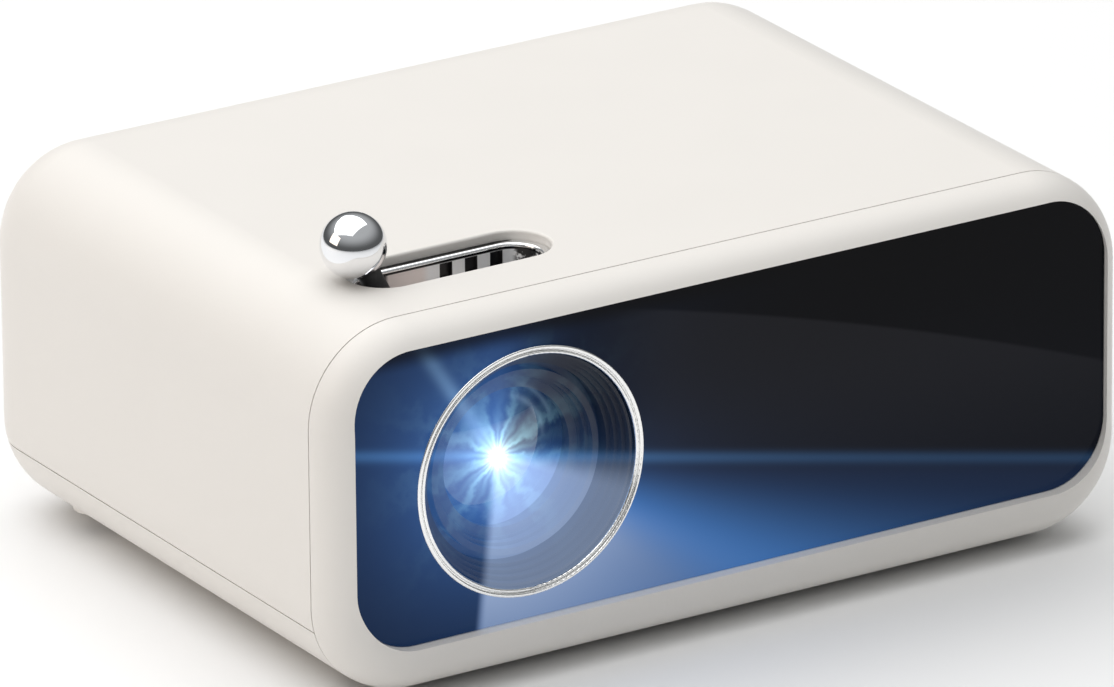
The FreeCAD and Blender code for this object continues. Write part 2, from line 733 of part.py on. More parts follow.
def dust_shield():
    """A curved strip that hides the inside behind the slot wherever the lever stands."""
    band_y = ("lens_x", "lever_y-5.6", "window_level")
    band = tube("dust_shield_band", "y", band_y, "11.2", "shield_outer", "shield_inner")
    half = 57.0
    wedge = doc.addObject("Part::Cylinder", "dust_shield_sector")
    bind(wedge, Radius="shield_outer+5", Height="12")
    wedge.Angle = 2 * half
    start = FreeCAD.Rotation(FreeCAD.Vector(0, 1, 0), -SIZES["lever_tilt"] - half - 90)
    place(wedge, "lens_x", "lever_y-6", "window_level", start.multiply(AXES["y"]))
    sector = common("dust_shield_arc", band, wedge)
    hole = radial("dust_shield_hole", "-lever_tilt", "focus_radius-1", "shield_outer+1", "stem_radius+0.05", "lever_y")
    leg = box("dust_shield_leg", ("lens_x-1.5", "lens_x+1.5"), ("lever_y+3.4", "lever_y+5.4"),
              ("window_level+focus_radius+0.02", "window_level+shield_inner+0.3"))
    return cut("dust_shield", fuse("dust_shield_whole", sector, leg), hole)


def lens_housing():
    lens = "window_level"
    sleeve = tube("lens_sleeve", "y", ("lens_x", "sleeve_front", lens), "flange_front-sleeve_front",
                  "tube_radius", "barrel_radius+running")
    stop = tube("lens_sleeve_stop", "y", ("lens_x", "focus_rear+0.3", lens), "1.5", "tube_radius+1.4",
                "barrel_radius+running")
    plate = box("lens_flange_plate", ("lens_x-22", "lens_x+22"), ("flange_front-0.01", "engine_front-0.05"),
                (f"{lens}-18.5", f"{lens}+18.5"))
    bore = cylinder("lens_flange_bore", "y", ("lens_x", "flange_front-2", lens), "8", "barrel_radius+running")
    holes = [cylinder(f"lens_flange_hole_{i + 1}", "y", (x, "flange_front-2", z), "8", "1.2")
             for i, (x, z) in enumerate(FLANGE_SCREWS)]
    slots = [pin_slot(index) for index in range(3)]
    return cut("lens_housing", fuse("lens_housing_blank", sleeve, stop, plate), bore, *holes, *slots)


def pin_slot(index):
    """A straight slot that lets one barrel pin slide without turning."""
    angle = 60 + 120 * index
    name = f"pin_slot_{index + 1}"
    clear = "pin_radius+0.15"
    block = doc.addObject("Part::Box", name + "_middle")
    bind(block, Length=f"2*({clear})", Width="focus_travel", Height="6")
    turn = FreeCAD.Rotation(FreeCAD.Vector(0, 1, 0), angle)
    radians = f"({angle})*1deg"
    place(block, f"lens_x+(tube_radius-4)*sin({radians})-({clear})*cos({radians})", "pin_y",
          f"window_level+(tube_radius-4)*cos({radians})+({clear})*sin({radians})", turn)
    ends = [radial(f"{name}_{word}", f"{angle}", "tube_radius-4", "tube_radius+2", clear, y)
            for word, y in (("front", "pin_y"), ("rear", "pin_y+focus_travel"))]
    return fuse(name, block, *ends)


def lens_barrel():
    """The sliding barrel: a stepped mouth, a seat for each lens and a plain rear."""
    front = "barrel_front"
    points = [
        ("barrel_radius", front), ("14.4", front), ("14.4", f"{front}+1.3"), ("13.8", f"{front}+1.3"),
        ("13.8", f"{front}+2.6"), ("13.25", f"{front}+2.6"), ("13.25", f"{front}+4.2"), ("12.5", f"{front}+4.2"),
        ("12.5", f"{front}+9.8"), ("11", f"{front}+9.8"), ("11", f"{front}+14.8"), ("12.5", f"{front}+14.8"),
        ("12.5", "barrel_rear"), ("barrel_radius", "barrel_rear")]
    return turned("lens_barrel", points, "lens_x", "window_level")


def barrel_pins():
    pins = [radial(f"barrel_pin_{i + 1}", f"{60 + 120 * i}", "13.4", "focus_radius-0.5", "pin_radius", "pin_y")
            for i in range(3)]
    return group("barrel_pins", pins)


def lenses():
    lens = "window_level"
    front = "barrel_front"
    rim = cylinder("front_lens_rim", "y", ("lens_x", f"{front}+2.4", lens), "7.3", "12.45")
    common("front_lens", rim, sphere("front_lens_face", ("lens_x", f"{front}+3+28", lens), "28"),
           sphere("front_lens_back", ("lens_x", f"{front}+9.4-34", lens), "34"))
    disc = cylinder("middle_lens_disc", "y", ("lens_x", f"{front}+10.4", lens), "4.2", "10.95")
    cut("middle_lens", disc, sphere("middle_lens_face", ("lens_x", f"{front}+11.6-30", lens), "30"),
        sphere("middle_lens_back", ("lens_x", f"{front}+13.4+30", lens), "30"))
    back = cylinder("rear_lens_rim", "y", ("lens_x", f"{front}+14.9", lens), "7", "12.45")
    common("rear_lens", back, sphere("rear_lens_face", ("lens_x", f"{front}+15.2+32", lens), "32"),
           sphere("rear_lens_back", ("lens_x", f"{front}+21.6-30", lens), "30"))
    tube("front_lens_retainer", "y", ("lens_x", f"{front}+2.7", lens), "1.4", "13.2", "11.7")
    tube("rear_lens_retainer", "y", ("lens_x", f"{front}+19.8", lens), "1.6", "12.45", "11.2")


# ---- optical engine ----------------------------------------------------------------------------

ENGINE_LEGS = [("engine_left+9", "engine_front+8"), ("engine_right-8", "engine_front+8"),
               ("engine_left+9", "engine_rear-16"), ("engine_right-8", "engine_rear-16")]
FLANGE_SCREWS = [(f"lens_x{x}19", f"window_level{z}15.5") for x in "+-" for z in "+-"]


def engine_base():
    body = new_body("engine_base")
    width = "engine_right-engine_left"
    depth = "engine_rear-engine_front"
    x = "(engine_left+engine_right)/2"
    y = "(engine_front+engine_rear)/2"
    outline = sketch(body, "outline", "xy", "engine_floor")
    draw_rounded(outline, x, y, width, depth, "3")
    pad(body, outline, "engine_top-engine_floor")
    inside = sketch(body, "inside", "xy", "engine_floor+2")
    draw_rounded(inside, x, y, f"{width}-2*engine_wall", f"{depth}-2*engine_wall", "1.3")
    pocket(body, inside, "engine_top-engine_floor")
    legs = sketch(body, "legs", "xy", "7")
    pilots = sketch(body, "pilots", "xy", "6")
    for leg_x, leg_y in ENGINE_LEGS:
        draw_circle(legs, leg_x, leg_y, "3.6")
        draw_circle(pilots, leg_x, leg_y, "screw_radius+0.05")
    pad(body, legs, "engine_floor-6.5")
    pocket(body, pilots, "10.4")
    window = sketch(body, "lens_window", "xz", f"engine_front-{CUT_MARGIN}")
    draw_circle(window, "lens_x", "window_level", "barrel_radius+running")
    for screw_x, screw_z in FLANGE_SCREWS:
        draw_circle(window, screw_x, screw_z, "1.2")
    pocket(body, window, f"engine_wall+{2 * CUT_MARGIN}")
    source = sketch(body, "light_window", "yz", f"engine_right-engine_wall-{CUT_MARGIN}")
    draw_rounded(source, "optic_y", "window_level", "18", "18", "1")
    pocket(body, source, f"engine_wall+{2 * CUT_MARGIN}")
    return body


def engine_cover():
    return box("engine_cover", ("engine_left", "engine_right"), ("engine_front", "engine_rear"),
               ("engine_top+0.05", "engine_top+2"))


def optics():
    floor = "engine_floor+2.05"
    top = "engine_top-0.1"
    wide = ("optic_y-plate_width/2", "optic_y+plate_width/2")
    for name, x, thick in (("front_fresnel", "-10", 1.8), ("lcd_panel", "-7", 2.4), ("rear_fresnel", "-3.8", 1.8),
                           ("heat_glass", "-0.6", 1.6)):
        box(name, (x, f"{x}+{thick}"), wide, (floor, top))
    disc = cylinder("condenser_disc", "x", ("2.4", "optic_y", "window_level"), "9", "17.2")
    common("condenser_lens", disc, sphere("condenser_face", ("3+24", "optic_y", "window_level"), "24"),
           box("condenser_flat", ("2.4", "10.2"), ("optic_y-18", "optic_y+18"), (floor, top)))
    funnel = cone("light_funnel_outer", "x", ("10.6", "optic_y", "window_level"), "8", "17.2", "9.2")
    mouth = cone("light_funnel_inner", "x", ("10.5", "optic_y", "window_level"), "8.2", "16.2", "8")
    cut("light_funnel", funnel, mouth)
    mirror = box("fold_mirror", ("0", "52"), ("0", "2"), (floor, top))
    # The mirror's lit face runs at 45 degrees through the crossing of the two optical axes.
    reach = 26 / math.sqrt(2)
    place(mirror, f"lens_x-{reach}", f"optic_y-{reach}", floor, FreeCAD.Rotation(FreeCAD.Vector(0, 0, 1), 45))
    base = box("led_board", ("engine_right+0.6", "sink_left-0.05"), ("optic_y-15", "optic_y+15"),
               ("window_level-15", "window_level+15"))
    chip = box("led_chip", ("engine_right-0.8", "engine_right+0.6"), ("optic_y-7", "optic_y+7"),
               ("window_level-7", "window_level+7"))
    fuse("led_module", base, chip)


def heat_sink():
    body = new_body("heat_sink")
    plate = sketch(body, "plate", "xy", "fan_level-19")
    draw_polygon(plate, [("sink_left", "-6"), ("sink_left+3", "-6"), ("sink_left+3", "fan_front-2"),
                         ("sink_left", "fan_front-2")])
    pad(body, plate, "38")
    fin = sketch(body, "fin", "xy", "fan_level-19")
    draw_polygon(fin, [("sink_left+2", "-6"), ("sink_right", "-6"), ("sink_right", "fan_front-2"),
                       ("sink_left+2", "fan_front-2")])
    first = pad(body, fin, "1")
    row = body.newObject("PartDesign::LinearPattern", "heat_sink_fins")
    row.Originals = [first]
    row.Direction = (fin, ["N_Axis"])
    row.Occurrences = 13
    bind(row, Length="37")
    body.Tip = row
    return body


# ---- fan ---------------------------------------------------------------------------------------


def fan_frame():
    low = "fan_size/2"
    block = box("fan_block", (f"fan_x-{low}", f"fan_x+{low}"), ("fan_front", "fan_front+fan_depth"),
                (f"fan_level-{low}", f"fan_level+{low}"))
    duct = cylinder("fan_duct", "y", ("fan_x", "fan_front-1", "fan_level"), "fan_depth+2", "blade_radius+0.7")
    holes = [cylinder(f"fan_hole_{i + 1}", "y", (x, "fan_front-1", z), "fan_depth+2", "1.75")
             for i, (x, z) in enumerate(FAN_SCREWS)]
    shroud = cut("fan_shroud", block, duct, *holes)
    rear = "fan_front+fan_depth"
    hub = cylinder("fan_motor_plate", "y", ("fan_x", f"{rear}-1.6", "fan_level"), "1.6", "hub_radius+0.5")
    bars = [box("fan_bar_flat", ("fan_x-19.5", "fan_x+19.5"), (f"{rear}-1.6", rear), ("fan_level-1", "fan_level+1")),
            box("fan_bar_tall", ("fan_x-1", "fan_x+1"), (f"{rear}-1.6", rear), ("fan_level-19.5", "fan_level+19.5"))]
    bearing = cylinder("fan_bearing", "y", ("fan_x", f"{rear}-3", "fan_level"), "4", "1.05")
    return cut("fan_frame", fuse("fan_frame_whole", shroud, hub, *bars), bearing)


FAN_SCREWS = [(f"fan_x{x}16", f"fan_level{z}16") for x in "+-" for z in "+-"]


def fan_rotor():
    body = new_body("fan_rotor", "fan_x", "0", "fan_level")
    hub = sketch(body, "hub", "xz", "fan_front+0.7")
    draw_circle(hub, "0", "0", "hub_radius")
    pad(body, hub, "fan_depth-2.7")
    shaft = sketch(body, "shaft", "xz", "fan_front+fan_depth-2.2")
    draw_circle(shaft, "0", "0", "1")
    pad(body, shaft, "2")
    blade = sketch(body, "blade", "yz", "hub_radius-1")
    low = "fan_front+1"
    high = "fan_front+7.4"
    draw_polygon(blade, [(low, "-3.6"), (f"{low}+1.1", "-3.6"), (high, "3.2"), (f"{high}-1.1", "3.2")])
    first = pad(body, blade, "blade_radius-hub_radius+0.7")
    ring_of(body, first, "Y_Axis", 7)
    return body


# ---- rear electronics --------------------------------------------------------------------------

PORTS = [("hdmi_port", "-44", "15", "5.6"), ("usb_port", "-24", "13.4", "6.2")]
JACKS = [("audio_jack", "-8", "3.2"), ("dc_jack", "8", "4.4")]
BOARD_REAR = "board_front+board_thick"
PORT_FACE = "body_depth/2-rear_inset-0.3"


def ports():
    for name, x, width, height in PORTS:
        can = box(name + "_can", (f"{x}-{width}/2", f"{x}+{width}/2"), (f"{BOARD_REAR}+0.05", PORT_FACE),
                  (f"port_level-{height}/2", f"port_level+{height}/2"))
        mouth = box(name + "_mouth", (f"{x}-{width}/2+0.5", f"{x}+{width}/2-0.5"),
                    (f"{PORT_FACE}-8", f"{PORT_FACE}+1"), (f"port_level-{height}/2+0.5", f"port_level+{height}/2-0.5"))
        tongue = box(name + "_tongue", (f"{x}-{width}/2+2", f"{x}+{width}/2-2"),
                     (f"{PORT_FACE}-8.5", f"{PORT_FACE}-1"), ("port_level-0.6", "port_level+0.6"))
        fuse(name, cut(name + "_shell", can, mouth), tongue)
    for name, x, radius in JACKS:
        at = (x, f"{BOARD_REAR}+0.05", "port_level")
        length = f"{PORT_FACE}-({BOARD_REAR})-0.05"
        barrel = cylinder(name + "_barrel", "y", at, length, radius)
        if name == "audio_jack":
            bore = cylinder(name + "_bore", "y", (x, f"{PORT_FACE}-10", "port_level"), "11", "1.8")
            cut(name, barrel, bore)
        else:
            bore = cylinder(name + "_bore", "y", (x, f"{PORT_FACE}-9", "port_level"), "10", "2.85")
            pin = cylinder(name + "_pin", "y", (x, f"{PORT_FACE}-9.5", "port_level"), "8.5", "1")
            fuse(name, cut(name + "_shell", barrel, bore), pin)


def rear_electronics():
    box("main_board", ("-57", "19"), ("board_front", BOARD_REAR), ("17.5", "50.5"))
    ports()
    sink = box("chip_sink_base", ("-34", "-14"), (f"{BOARD_REAR}+0.05", f"{BOARD_REAR}+2"), ("33", "49"))
    fin_depth = (f"{BOARD_REAR}+1.9", f"{BOARD_REAR}+6")
    fins = [box(f"chip_sink_fin_{i + 1}", (f"-34+{3.8 * i}", f"-34+{3.8 * i}+1"), fin_depth, ("33", "49"))
            for i in range(6)]
    fuse("chip_heat_sink", sink, *fins)
    cylinder("ir_receiver", "y", ("receiver_x", f"{BOARD_REAR}+0.05", "receiver_level"),
             f"{PORT_FACE}-({BOARD_REAR})", "2.4")
    inner = "body_depth/2-wall-rear_inset-0.5"
    cap_end = "body_depth/2-rear_inset+0.6"
    cap_start = ("button_x", f"{inner}-1.4", "button_level")
    cap = cylinder("power_button_cap", "y", cap_start, f"{cap_end}-({inner})+1.4", "button_radius")
    flange = cylinder("power_button_flange", "y", cap_start, "1.1", "button_radius+1")
    stem = cylinder("power_button_stem", "y", ("button_x", f"{inner}-3", "button_level"), "1.7", "1.4")
    fuse("power_button", cap, flange, stem)
    can = box("button_switch_can", ("button_x-3", "button_x+3"), (f"{BOARD_REAR}+0.05", f"{BOARD_REAR}+3.6"),
              ("button_level-3", "button_level+3"))
    plunger = cylinder("button_switch_plunger", "y", ("button_x", f"{BOARD_REAR}+3.5", "button_level"),
                       f"{inner}-3-button_travel-0.15-({BOARD_REAR})-3.5", "1.7")
    fuse("button_switch", can, plunger)


def front_electronics():
    level = 9.0
    x_low, x_high = -12.0, 52.0
    box("driver_board", (x_low, x_high), ("-44", "-22"), (level, level + 1.6))
    posts = [cylinder(f"board_post_{i + 1}", "z", (x, y, level - 5.3), "5.25", "2.2")
             for i, (x, y) in enumerate(((x_low + 4, -41), (x_low + 4, -25), (x_high - 4, -41), (x_high - 4, -25)))]
    group("board_posts", posts)
    top = level + 1.65
    coil = tube("driver_coil_ring", "z", ("0", "-33", top), "6", "6", "2.6")
    cans = [cylinder(f"driver_can_{i + 1}", "z", (x, -33, top), "11", "4") for i, x in enumerate((16, 27))]
    chip = box("driver_chip", ("36", "44"), ("-37", "-29"), (top, top + 2))
    group("driver_parts", [coil, *cans, chip])
    speaker_body = box("speaker_case", ("64.5", "71.2"), ("-34", "-8"), ("22", "43"))
    cone_cut = cone("speaker_dish", "x", ("69.2", "-21", "32.5"), "2.1", "6", "9.4")
    cap = sphere("speaker_cap", ("69", "-21", "32.5"), "2.6")
    fuse("speaker", cut("speaker_shell", speaker_body, cone_cut), common("speaker_dome", cap, box(
        "speaker_dome_limit", ("68.8", "71"), ("-24", "-18"), ("29", "36"))))
    tube("speaker_gasket", "x", ("71.25", "-21", "32.5"), "1.4", "10.4", "9.4")


# ---- fasteners, feet and leads -----------------------------------------------------------------


def screw(name, axis_turn, at, length, radius, head_radius, head_height):
    """A socket-head screw whose head starts at the point at and whose shank runs along local +Z."""
    head = doc.addObject("Part::Cylinder", name + "_head")
    bind(head, Radius=head_radius, Height=head_height)
    shank = doc.addObject("Part::Cylinder", name + "_shank")
    bind(shank, Radius=radius, Height=f"{head_height}+{length}")
    socket = doc.addObject("Part::Prism", name + "_socket")
    socket.Polygon = 6
    bind(socket, Circumradius=f"({head_radius})*0.55", Height=f"({head_height})*0.6")
    whole = cut(name, fuse(name + "_blank", head, shank), socket)
    return place(whole, *at, axis_turn)


def fasteners():
    case = [screw(f"case_screw_{i + 1}", UP, (x, y, "foot_height+2.55"), "10", "screw_radius", "screw_head", "1.8")
            for i, (x, y) in enumerate(BOSSES + ENGINE_LEGS)]
    group("case_screws", case)
    inward = AXES["y"]
    flange = [screw(f"flange_screw_{i + 1}", inward, (x, "flange_front-1.45", z), "5", "1.15", "2.1", "1.4")
              for i, (x, z) in enumerate(FLANGE_SCREWS)]
    group("flange_screws", flange)
    fan = [screw(f"fan_screw_{i + 1}", inward, (x, "fan_front-1.5", z), "9.6", "1.6", "2.6", "1.4")
           for i, (x, z) in enumerate(FAN_SCREWS)]
    group("fan_screws", fan)


def feet():
    pads = []
    for x in (1, -1):
        for y in (1, -1):
            at = (f"{x}*foot_x", f"{y}*foot_y", "0")
            pads.append(cylinder(f"foot_{len(pads) + 1}", "z", at, f"{BASE}+0.75", "foot_radius"))
    group("rubber_feet", pads)


def tripod_insert():
    return tube("tripod_insert", "z", ("0", "0", "foot_height+0.3"), "6.1", "insert_radius", "insert_bore")


LEADS = {
    "fan_lead": (1.2, [(52, 47.8, 14.8), (52, 46.5, 10.5), (44, 38, 8), (31, 22, 7), (29, 2, 7), (24, -16, 7.6),
                       (22, -25, 8.2)]),
    "led_lead": (1.6, [(22.5, -3.1, 24), (22.5, -10, 24), (22.8, -17, 20), (23.5, -24, 14.5), (23.5, -26, 11.05)]),
    "speaker_lead": (1.2, [(67.8, -34.3, 32), (67.8, -39, 30), (66.5, -45.5, 25), (60, -47.6, 19), (52, -46, 14),
                           (48, -41, 11.2)]),
}


def lead(name, diameter, points):
    """A tube of straight runs joined by arcs as large as the runs allow."""
    corners = [FreeCAD.Vector(*point) for point in points]
    edges = []
    start = corners[0]
    for before, here, after in zip(corners, corners[1:], corners[2:]):
        inward = (here - before).normalize()
        outward = (after - here).normalize()
        turn = inward.getAngle(outward)
        reach = 0.45 * min((here - before).Length, (after - here).Length)
        first = here - inward * reach
        last = here + outward * reach
        radius = reach / math.tan(turn / 2)
        bulge = (outward - inward).normalize()
        middle = here + bulge * (radius / math.cos(turn / 2) - radius)
        edges.append(Part.LineSegment(start, first).toShape())
        edges.append(Part.Arc(first, middle, last).toShape())
        start = last
    edges.append(Part.LineSegment(start, corners[-1]).toShape())
    path = Part.Wire(edges)
    direction = corners[1] - corners[0]
    section = Part.Wire([Part.makeCircle(diameter / 2, corners[0], direction)])
    item = doc.addObject("Part::Feature", name)
    item.Shape = path.makePipeShell([section], True, False)
    expected = math.pi * diameter ** 2 / 4 * path.Length
    if abs(item.Shape.Volume - expected) > 0.02 * expected:
        raise RuntimeError(name + " has the wrong volume")
    return item


def display_flex():
    """The flat ribbon from the display's top edge, over the engine's rear wall, to the main board."""
    body = new_body("display_flex")
    profile = sketch(body, "profile", "yz", "-14")
    rear = "board_front-0.35"
    draw_polygon(profile, [
        ("optic_y", "engine_top+2.2"), (rear, "engine_top+2.2"), (rear, "48"), (f"{rear}+0.3", "48"),
        (f"{rear}+0.3", "engine_top+2.5"), ("optic_y", "engine_top+2.5")])
    pad(body, profile, "16")
    return body


# ---- the whole projector -----------------------------------------------------------------------

NODES = [
    "top_shell", "bottom_cover", "front_bezel", "front_panel", "rear_panel", "slot_trim", "lens_ring", "lens_hood",
    "focus_ring", "focus_ring_clip", "focus_lever", "lever_ball", "dust_shield", "lens_housing", "lens_barrel",
    "barrel_pins", "front_lens", "middle_lens", "rear_lens", "front_lens_retainer", "rear_lens_retainer",
    "engine_base", "engine_cover", "front_fresnel", "lcd_panel", "rear_fresnel", "heat_glass", "condenser_lens",
    "light_funnel", "fold_mirror", "led_module", "heat_sink", "fan_frame", "fan_rotor", "main_board", "hdmi_port",
    "usb_port", "audio_jack", "dc_jack", "chip_heat_sink", "ir_receiver", "power_button", "button_switch",
    "driver_board", "board_posts", "driver_parts", "speaker", "speaker_gasket", "case_screws", "flange_screws",
    "fan_screws", "rubber_feet", "tripod_insert", "fan_lead", "led_lead", "speaker_lead", "display_flex",
]


def build():
    fill_sheet()
    for make in (
            top_shell, bottom_cover, front_bezel, front_panel, rear_panel, slot_trim, lens_ring, lens_hood,
            focus_parts, dust_shield, lens_housing, lens_barrel, barrel_pins, lenses, engine_base, engine_cover,
            optics, heat_sink, fan_frame, fan_rotor, rear_electronics, front_electronics, fasteners, feet,
            tripod_insert, display_flex):
        make()
    for name, (diameter, points) in LEADS.items():
        lead(name, diameter, points)
    doc.recompute()


def check():
    for item in doc.Objects:
        if "Invalid" in item.State or "Error" in item.State:
            raise RuntimeError(f"{item.Name} is {item.State}")
    by_label = {item.Label: item for item in doc.Objects}
    for name in NODES:
        shape = by_label[name].Shape
        if shape.isNull() or not shape.isValid() or not shape.Solids:
            raise RuntimeError(name + " has no valid solid")
    return by_label


def export(by_label):
    os.makedirs("parts", exist_ok=True)
    for name in NODES:
        by_label[name].Shape.exportStep(f"parts/{name}.step")


build()
export(check())
print(len(NODES), "nodes written")
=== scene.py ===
import math

import bpy
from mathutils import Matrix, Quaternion, Vector


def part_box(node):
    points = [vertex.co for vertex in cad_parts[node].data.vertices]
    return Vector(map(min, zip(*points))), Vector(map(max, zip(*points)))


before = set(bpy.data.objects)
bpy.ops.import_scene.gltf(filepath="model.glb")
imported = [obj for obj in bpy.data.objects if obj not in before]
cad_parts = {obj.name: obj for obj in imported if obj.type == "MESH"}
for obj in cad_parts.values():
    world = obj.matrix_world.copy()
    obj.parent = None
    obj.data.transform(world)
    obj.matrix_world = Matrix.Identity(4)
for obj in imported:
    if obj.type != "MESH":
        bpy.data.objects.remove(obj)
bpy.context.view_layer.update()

MM = 0.001

# Places that the looks are built around, all read from the frame.
CASE_LOW = Vector(map(min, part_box("bottom_cover")[0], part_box("front_bezel")[0]))
CASE_HIGH = Vector(map(max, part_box("top_shell")[1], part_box("bottom_cover")[1]))
CASE_MIDDLE = (CASE_LOW + CASE_HIGH) / 2
WINDOW_LOW, WINDOW_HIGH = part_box("front_panel")
RING_LOW, RING_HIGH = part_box("lens_ring")
LENS_X = (RING_LOW.x + RING_HIGH.x) / 2
LENS_Z = (RING_LOW.z + RING_HIGH.z) / 2
WINDOW_Y = WINDOW_LOW.y


# ---- numbers and colours that vary over a surface ----------------------------------------------


def plug(tree, socket, value):
    """Feed a socket from a Field or Tint, or give it a plain value."""
    if isinstance(value, (Field, Tint)):
        tree.links.new(value.source, socket)
    else:
        socket.default_value = value


class Field:
    """A number that varies over a surface, made of math nodes."""

    def __init__(self, tree, source):
        self.tree, self.source = tree, source

    def apply(self, operation, *others):
        """The result of a math node's operation on this number and up to two others."""
        node = self.tree.nodes.new("ShaderNodeMath")
        node.operation = operation
        for socket, value in zip(node.inputs, (self, *others)):
            plug(self.tree, socket, value)
        return Field(self.tree, node.outputs[0])

    def __add__(self, other):
        return self.apply("ADD", other)

    def __sub__(self, other):
        return self.apply("SUBTRACT", other)

    def __mul__(self, other):
        return self.apply("MULTIPLY", other)

    def __truediv__(self, other):
        return self.apply("DIVIDE", other)

    def over(self, low, high):
        """0 below low, 1 above high and smooth between; high may be the smaller."""
        node = self.tree.nodes.new("ShaderNodeMapRange")
        node.interpolation_type = "SMOOTHSTEP"
        plug(self.tree, node.inputs["Value"], self)
        first, last = (low, high) if low < high else (high, low)
        node.inputs["From Min"].default_value = first
        node.inputs["From Max"].default_value = last
        node.inputs["To Min"].default_value = 0.0 if low < high else 1.0
        node.inputs["To Max"].default_value = 1.0 if low < high else 0.0
        return Field(self.tree, node.outputs["Result"])

    def bell(self, width):
        """1 at zero, falling off as a bell of that width."""
        scaled = self / width
        return (scaled * scaled * -1.0).apply("EXPONENT")

    def fade(self, length):
        """1 at zero, falling off to 1/e over length."""
        return (self.apply("ABSOLUTE") / -length).apply("EXPONENT")

    def tint(self, color):
        """This number times a colour."""
        node = self.tree.nodes.new("ShaderNodeVectorMath")
        node.operation = "SCALE"
        node.inputs[0].default_value = color
        plug(self.tree, node.inputs["Scale"], self)
        return Tint(self.tree, node.outputs[0])


class Tint:
    """A colour that varies over a surface."""

    def __init__(self, tree, source):
        self.tree, self.source = tree, source

    def __add__(self, other):
        node = self.tree.nodes.new("ShaderNodeVectorMath")
        node.operation = "ADD"
        plug(self.tree, node.inputs[0], self)
        plug(self.tree, node.inputs[1], other)
        return Tint(self.tree, node.outputs[0])

    def __mul__(self, amount):
        """This colour times a Field."""
        node = self.tree.nodes.new("ShaderNodeVectorMath")
        node.operation = "SCALE"
        plug(self.tree, node.inputs[0], self)
        plug(self.tree, node.inputs["Scale"], amount)
        return Tint(self.tree, node.outputs[0])


class Look:
    """A material about one Principled shader, with short calls for the patterns that feed it."""

    def __init__(self, name, color, roughness, **sockets):
        self.material = bpy.data.materials.new(name)
        self.material.use_nodes = True
        self.tree = self.material.node_tree
        self.shader = self.tree.nodes["Principled BSDF"]
        self.color = (*color, 1.0)
        self.shader.inputs["Base Color"].default_value = self.color
        self.shader.inputs["Roughness"].default_value = roughness
        for socket, value in sockets.items():
            self.shader.inputs[socket.replace("_", " ")].default_value = value
        self.place = self.tree.nodes.new("ShaderNodeTexCoord").outputs["Object"]

    def axes(self):
        """The place on the surface as three Fields, in metres."""
        node = self.tree.nodes.new("ShaderNodeSeparateXYZ")
        self.tree.links.new(self.place, node.inputs[0])
        return [Field(self.tree, output) for output in node.outputs]

    def noise(self, size, detail=4.0, stretch=(1, 1, 1)):
        """Cloudy noise whose features are size metres across, as a Field from 0 to 1."""
        node = self.tree.nodes.new("ShaderNodeTexNoise")
        node.inputs["Scale"].default_value = 1.0 / size
        node.inputs["Detail"].default_value = detail
        self.tree.links.new(self.stretched(stretch), node.inputs["Vector"])
        return Field(self.tree, node.outputs["Fac"])

    def cells(self, size, feature="F1"):
        node = self.tree.nodes.new("ShaderNodeTexVoronoi")
        node.feature = feature
        node.inputs["Scale"].default_value = 1.0 / size
        self.tree.links.new(self.place, node.inputs["Vector"])
        return Field(self.tree, node.outputs["Distance"])

    def stretched(self, stretch):
        if tuple(stretch) == (1, 1, 1):
            return self.place
        node = self.tree.nodes.new("ShaderNodeMapping")
        node.inputs["Scale"].default_value = stretch
        self.tree.links.new(self.place, node.inputs["Vector"])
        return node.outputs[0]

    def between(self, low, high, amount):
        """A colour that runs from low to high as the Field amount runs from 0 to 1."""
        node = self.tree.nodes.new("ShaderNodeMix")
        node.data_type = "RGBA"
        plug(self.tree, node.inputs["Factor"], amount)
        colors = [socket for socket in node.inputs if socket.type == "RGBA"]
        for socket, value in zip(colors, (low, high)):
            plug(self.tree, socket, value if isinstance(value, Tint) else (*value, 1.0))
        output = next(socket for socket in node.outputs if socket.type == "RGBA")
        return Tint(self.tree, output)

    def feed(self, socket, value):
        plug(self.tree, self.shader.inputs[socket], value)
        return self

    def vary(self, socket, low, high, amount):
        """Let a number run from low to high with the Field amount."""
        return self.feed(socket, amount * (high - low) + low)

    def shade(self, spread, amount):
        """Let the base colour run between darker and lighter by a share of itself."""
        low = tuple(channel * (1 - spread) for channel in self.color[:3])
        high = tuple(min(channel * (1 + spread), 1.0) for channel in self.color[:3])
        return self.feed("Base Color", self.between(low, high, amount))

    def bump(self, height, depth):
        """Shade the surface as if it stood depth metres higher where height is 1."""
        node = self.tree.nodes.new("ShaderNodeBump")
        node.inputs["Strength"].default_value = 1.0
        node.inputs["Distance"].default_value = depth
        plug(self.tree, node.inputs["Height"], height)
        self.tree.links.new(node.outputs["Normal"], self.shader.inputs["Normal"])
        return self


# ---- the projected light -----------------------------------------------------------------------

# The light leaves the front lens. Its glow and flare are painted light, emission laid out on the
# window's plane and carried into the lens well along one fixed slant, millimetres of x and z for each
# millimetre of depth. The slant is the main view's direction, so from there the painted flare runs on
# from the window over the steps inside; from elsewhere the two don't quite line up.
SLANT_X, SLANT_Z = 0.619, -0.456
GLOW_X = LENS_X - 6.1 * MM
GLOW_Z = LENS_Z + 3.65 * MM
METRES_TO_MM = 1000.0
STREAK_X, STREAK_Z = 0.213, 0.977     # across the streak
RAY_X, RAY_Z = 0.843, 0.539           # across the long ray
DARK_X, DARK_Z = 0.87, 0.5            # from the glow toward the dark side
LEAN = 0.118                          # how far the beam's left edge leans
BLUE = (0.115, 0.34, 1.0)
CYAN = (0.45, 0.9, 1.0)
CREAM = (1.0, 0.97, 0.84)


